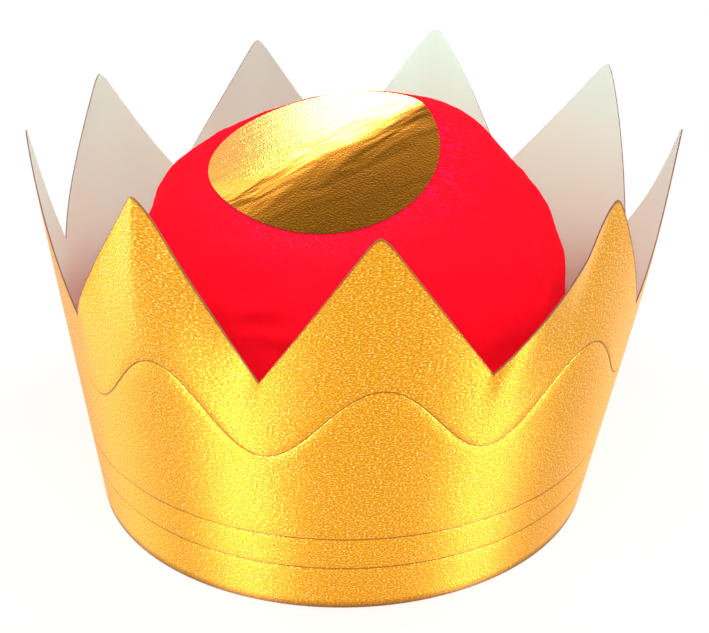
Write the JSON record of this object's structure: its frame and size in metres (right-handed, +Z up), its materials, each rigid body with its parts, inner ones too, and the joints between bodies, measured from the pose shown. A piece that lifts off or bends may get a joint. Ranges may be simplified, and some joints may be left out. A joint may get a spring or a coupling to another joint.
{
  "type": "paper crown",
  "caption": "Rolled gold card crown with cut points and pressed lines, holding a puffed red crepe paper cap topped by a creased foil disc; worn on the head.",
  "frame": {"origin": "centre of the rim's inner circle, on the plane that the crown stands on", "axes": "+Z up to the points, -Y towards the front point, +X to the right seen from the front"},
  "size_m": [0.2194, 0.2275, 0.1395],
  "materials": {
    "gold_card": "satin",
    "crepe_paper": "matte",
    "foil_card": "polished"
  },
  "bodies": {
    "root": {"crown_band": "gold_card", "red_cap": "crepe_paper", "gold_disc": "foil_card"}
  },
  "joints": []
}
